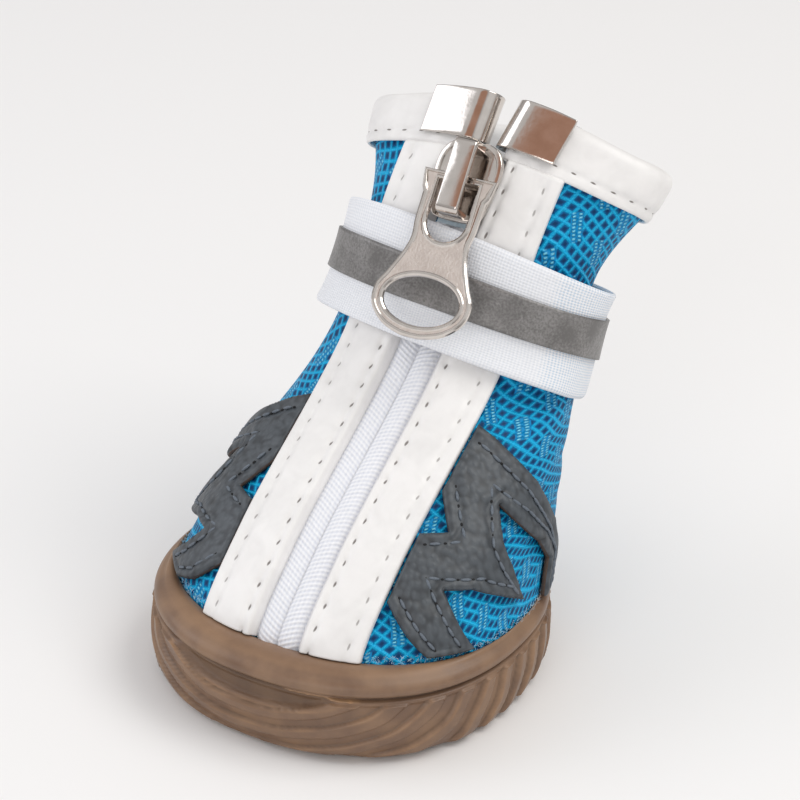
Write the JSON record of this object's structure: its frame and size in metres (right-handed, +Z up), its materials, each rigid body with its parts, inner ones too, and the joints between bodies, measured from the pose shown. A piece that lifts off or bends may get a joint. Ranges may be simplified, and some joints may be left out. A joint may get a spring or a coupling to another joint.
{
  "type": "dog boot",
  "caption": "Small zip boot for a dog with a mesh upper, rubber cup sole, front zip between white plackets, grey side overlays and a hook-and-loop ankle strap.",
  "frame": {"origin": "middle of the tread face, where the boot rests on the floor", "axes": "+Z up, -Y towards the toe, +X across towards the boot's own left"},
  "size_m": [0.0488, 0.0703, 0.0659],
  "materials": {
    "gum_rubber": "moulded gum rubber, satin",
    "foam": "thin foam sheet",
    "blue_mesh": "knitted polyester mesh",
    "white_tape": "woven zip tape over a nylon coil",
    "white_strap": "fine ribbed hook-and-loop tape",
    "white_leather": "smooth coated leather",
    "grey_leather": "grained coated leather",
    "grey_film": "reflective film stripe",
    "nickel": "polished nickel plate"
  },
  "bodies": {
    "boot": {"outsole": "gum_rubber", "insole": "foam", "upper": "blue_mesh", "zip_chain": "white_tape", "zip_half_left": "white_tape", "zip_half_right": "white_tape", "placket_left": "white_leather", "placket_right": "white_leather", "side_overlay_left": "grey_leather", "side_overlay_right": "grey_leather", "collar_binding": "white_leather", "clip_left": "nickel", "clip_right": "nickel", "slider": "nickel", "strap": "white_strap", "reflective_stripe": "grey_film"},
    "pull": {"pull_tab": "nickel"}
  },
  "joints": [
    {"name": "pull_swing", "type": "hinge", "parent": "boot", "child": "pull", "pos_m": [0.00188, 0.02081, 0.05794], "axis": [-0.9995, -0.0204, -0.0261], "range_deg": [0, 150]}
  ]
}
